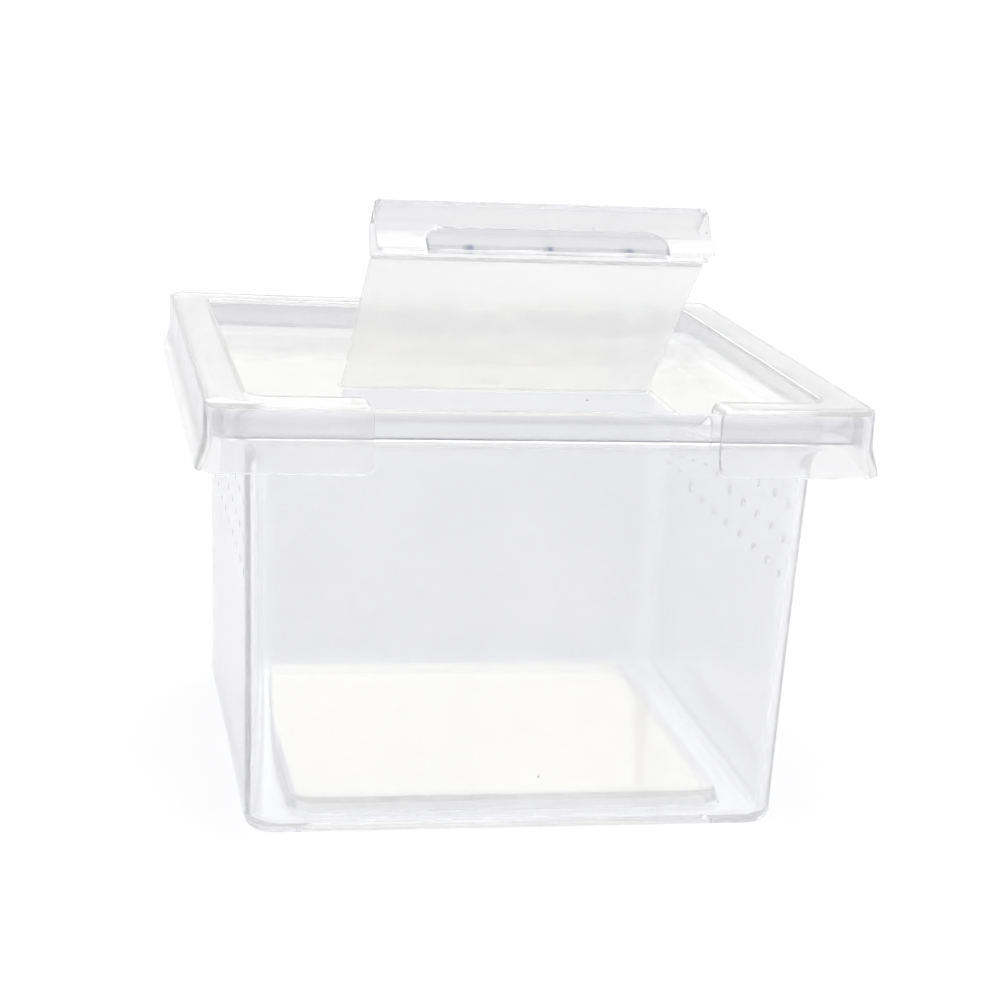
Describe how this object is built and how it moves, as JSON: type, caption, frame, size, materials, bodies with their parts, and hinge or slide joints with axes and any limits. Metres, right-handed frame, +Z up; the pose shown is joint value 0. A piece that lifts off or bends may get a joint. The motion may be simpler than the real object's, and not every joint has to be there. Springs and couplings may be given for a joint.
{
  "type": "feeding box",
  "caption": "Small clear plastic feeding and rearing box: tapered vented tub, press-over lid with raised border, and a door flap on a living hinge.",
  "frame": {"origin": "middle of the tub's flat base", "axes": "+Z up, -Y towards the door's free edge (the front), +X to the right when facing the front"},
  "size_m": [0.0684, 0.0684, 0.0646],
  "materials": {
    "tub_plastic": "clear polypropylene, faintly milky, glossy",
    "lid_plastic": "clear polypropylene, a little milkier than the tub, glossy"
  },
  "bodies": {
    "tub": {"tub": "tub_plastic"},
    "lid": {"lid": "lid_plastic", "hinge_web": "lid_plastic"},
    "door": {"door_flap": "lid_plastic"}
  },
  "joints": [
    {"name": "lid_lift", "type": "slide", "parent": "tub", "child": "lid", "axis": [0, 0, 1], "range_m": [0, 0.04]},
    {"name": "door_hinge", "type": "hinge", "parent": "lid", "child": "door", "pos_m": [0, -0.0037, 0.0421], "axis": [-1, 0, 0], "range_deg": [-41.5, 126.5]}
  ]
}
